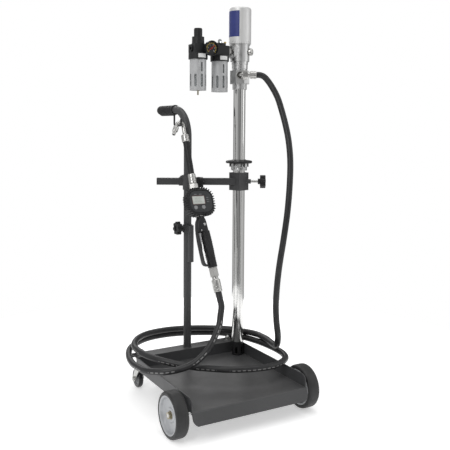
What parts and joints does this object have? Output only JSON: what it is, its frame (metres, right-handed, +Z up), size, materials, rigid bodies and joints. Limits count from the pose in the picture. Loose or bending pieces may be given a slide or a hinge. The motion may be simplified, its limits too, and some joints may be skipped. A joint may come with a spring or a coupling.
{
  "type": "oil dispensing cart",
  "caption": "Wheeled drum cart with an air-operated oil pump on a clamp arm, an air filter, regulator and lubricator, a delivery hose and a metering gun on a hook",
  "frame": {"origin": "on the ground, below the centre of the cart's outline without its hose", "axes": "+X to the cart's right, +Y to its rear, where the handle points, +Z up"},
  "size_m": [0.528, 0.667, 1.3069],
  "materials": {
    "charcoal_paint": "powder coat, satin",
    "black_plastic": "moulded, matt",
    "black_rubber": "moulded, matt",
    "tyre_rubber": "matt",
    "wheel_rim": "moulded, silver grey",
    "zinc_plate": "zinc plated",
    "chrome": "polished",
    "cast_aluminium": "satin",
    "nickel_plate": "nickel plated, satin",
    "clear_bowl": "clear",
    "filter_white": "sintered",
    "red_plastic": "gloss",
    "dark_case": "moulded, satin",
    "display_glass": "clear window over a display",
    "light_button": "moulded, satin",
    "hose_rubber": "extruded, satin"
  },
  "bodies": {
    "chassis": {"tray": "charcoal_paint", "axle_brackets": "charcoal_paint", "axle": "zinc_plate", "axle_nuts": "zinc_plate", "post_handle": "charcoal_paint", "handle_grip": "black_rubber", "gun_hook": "charcoal_paint", "arm_socket": "charcoal_paint", "castor_stems": "zinc_plate", "hose_coil": "hose_rubber"},
    "wheel_left": {"tyre_left": "tyre_rubber", "rim_left": "wheel_rim"},
    "wheel_right": {"tyre_right": "tyre_rubber", "rim_right": "wheel_rim"},
    "castor_left": {"castor_fork_left": "zinc_plate"},
    "castor_roll_left": {"castor_wheel_left": "tyre_rubber"},
    "castor_right": {"castor_fork_right": "zinc_plate"},
    "castor_roll_right": {"castor_wheel_right": "tyre_rubber"},
    "arm": {"arm_bar": "charcoal_paint", "arm_end_cap": "black_plastic", "clamp_block": "charcoal_paint"},
    "arm_screw": {"arm_knob": "black_plastic"},
    "block_screw": {"block_knob": "black_plastic"},
    "holder": {"spout_holder": "charcoal_paint"},
    "holder_screw": {"holder_knob": "black_plastic"},
    "pump": {"motor_cap": "cast_aluminium", "valve_body": "cast_aluminium", "silencer": "cast_aluminium", "pump_neck": "cast_aluminium", "outlet_block": "cast_aluminium", "suction_tube": "chrome", "foot_valve": "black_plastic", "outlet_elbow": "nickel_plate", "regulator_body": "black_plastic", "regulator_bonnet": "black_plastic", "bowl_guards": "black_plastic", "bowls": "clear_bowl", "filter_element": "filter_white", "lubricator_body": "black_plastic", "gauge_case": "black_plastic", "hose_drop": "hose_rubber"},
    "piston": {"power_piston": "nickel_plate"},
    "ball": {"foot_ball": "nickel_plate"},
    "bung": {"bung_disc": "black_plastic", "bung_ring": "cast_aluminium"},
    "pressure_knob": {"regulator_knob": "black_plastic"},
    "drain": {"drain_valve": "black_plastic"},
    "needle": {"gauge_needle": "red_plastic"},
    "gun": {"meter_case": "dark_case", "meter_guard": "black_rubber", "meter_screen": "display_glass", "gun_body": "black_rubber", "spout_fittings": "nickel_plate", "spout_hose": "hose_rubber", "hose_tail": "hose_rubber"},
    "key_left": {"button_left": "light_button"},
    "key_right": {"button_right": "light_button"},
    "trigger": {"gun_trigger": "dark_case"},
    "swivel": {"swivel_nut": "nickel_plate"},
    "tip": {"spout_tip": "nickel_plate"}
  },
  "joints": [
    {"name": "wheel_left_spin", "type": "hinge", "parent": "chassis", "child": "wheel_left", "pos_m": [-0.23786, -0.2585, 0.0688], "axis": [1, 0, 0], "continuous": true},
    {"name": "castor_left_swivel", "type": "hinge", "parent": "chassis", "child": "castor_left", "pos_m": [-0.17646, 0.1165, 0.108], "axis": [0, 0, 1], "continuous": true},
    {"name": "castor_left_roll", "type": "hinge", "parent": "castor_left", "child": "castor_roll_left", "pos_m": [-0.17646, 0.1525, 0.032], "axis": [1, 0, 0], "continuous": true},
    {"name": "wheel_right_spin", "type": "hinge", "parent": "chassis", "child": "wheel_right", "pos_m": [0.22094, -0.2585, 0.0688], "axis": [1, 0, 0], "continuous": true},
    {"name": "castor_right_swivel", "type": "hinge", "parent": "chassis", "child": "castor_right", "pos_m": [0.15954, 0.1165, 0.108], "axis": [0, 0, 1], "continuous": true},
    {"name": "castor_right_roll", "type": "hinge", "parent": "castor_right", "child": "castor_roll_right", "pos_m": [0.15954, 0.1525, 0.032], "axis": [1, 0, 0], "continuous": true},
    {"name": "arm_slide", "type": "slide", "parent": "chassis", "child": "arm", "axis": [-0.8746, 0.4848, 0], "range_m": [0, 0.018], "deforming": ["hose_coil"]},
    {"name": "arm_knob_turn", "type": "hinge", "parent": "chassis", "child": "arm_screw", "pos_m": [0.02507, 0.08648, 0.7065], "axis": [0.4848, 0.8746, 0], "range_deg": [-90, 90]},
    {"name": "block_knob_turn", "type": "hinge", "parent": "arm", "child": "block_screw", "pos_m": [0.23124, 0.01908, 0.7085], "axis": [0.8746, -0.4848, 0], "range_deg": [-90, 90]},
    {"name": "pump_lift", "type": "slide", "parent": "arm", "child": "pump", "axis": [0, 0, 1], "range_m": [0, 0.3], "deforming": ["hose_drop"]},
    {"name": "piston_stroke", "type": "slide", "parent": "pump", "child": "piston", "axis": [0, 0, 1], "range_m": [-0.035, 0.035]},
    {"name": "ball_lift", "type": "slide", "parent": "pump", "child": "ball", "axis": [0, 0, 1], "range_m": [0, 0.003]},
    {"name": "bung_slide", "type": "slide", "parent": "pump", "child": "bung", "axis": [0, 0, 1], "range_m": [0, 0.22]},
    {"name": "pressure_knob_turn", "type": "hinge", "parent": "pump", "child": "pressure_knob", "pos_m": [0.00265, 0.05544, 1.1974], "axis": [0, 0, 1], "range_deg": [-150, 150]},
    {"name": "drain_push", "type": "slide", "parent": "pump", "child": "drain", "axis": [0, 0, 1], "range_m": [0, 0.002], "stiffness_N_per_m": 200},
    {"name": "needle_swing", "type": "hinge", "parent": "pump", "child": "needle", "pos_m": [0.03265, 0.01544, 1.158], "axis": [0, 1, 0], "range_deg": [-185, 85], "stiffness_Nm_per_rad": 0.001},
    {"name": "gun_lift", "type": "slide", "parent": "chassis", "child": "gun", "axis": [0, 0, 1], "range_m": [0, 0.022], "deforming": ["hose_tail"]},
    {"name": "button_left_press", "type": "slide", "parent": "gun", "child": "key_left", "axis": [0, 0.9348, -0.3551], "range_m": [0, 0.0015], "stiffness_N_per_m": 200},
    {"name": "button_right_press", "type": "slide", "parent": "gun", "child": "key_right", "axis": [0, 0.9348, -0.3551], "range_m": [0, 0.0015], "stiffness_N_per_m": 200},
    {"name": "trigger_pull", "type": "hinge", "parent": "gun", "child": "trigger", "pos_m": [-0.03646, -0.03555, 0.55852], "axis": [0, -0.9348, 0.3551], "range_deg": [0, 7], "stiffness_Nm_per_rad": 1},
    {"name": "swivel_turn", "type": "hinge", "parent": "gun", "child": "swivel", "pos_m": [-0.00989, -0.08482, 0.4288], "axis": [-0.0593, 0.3545, 0.9332], "continuous": true},
    {"name": "tip_twist", "type": "hinge", "parent": "gun", "child": "tip", "pos_m": [-0.0635, 0.09043, 0.89014], "axis": [0.4695, 0.3135, 0.8254], "range_deg": [0, 90]},
    {"name": "holder_slide", "type": "slide", "parent": "chassis", "child": "holder", "axis": [0, 0, 1], "range_m": [-0.2, 0.02]},
    {"name": "holder_knob_turn", "type": "hinge", "parent": "holder", "child": "holder_screw", "pos_m": [-0.03846, 0.1085, 0.55], "axis": [1, 0, 0], "range_deg": [-90, 90]}
  ]
}
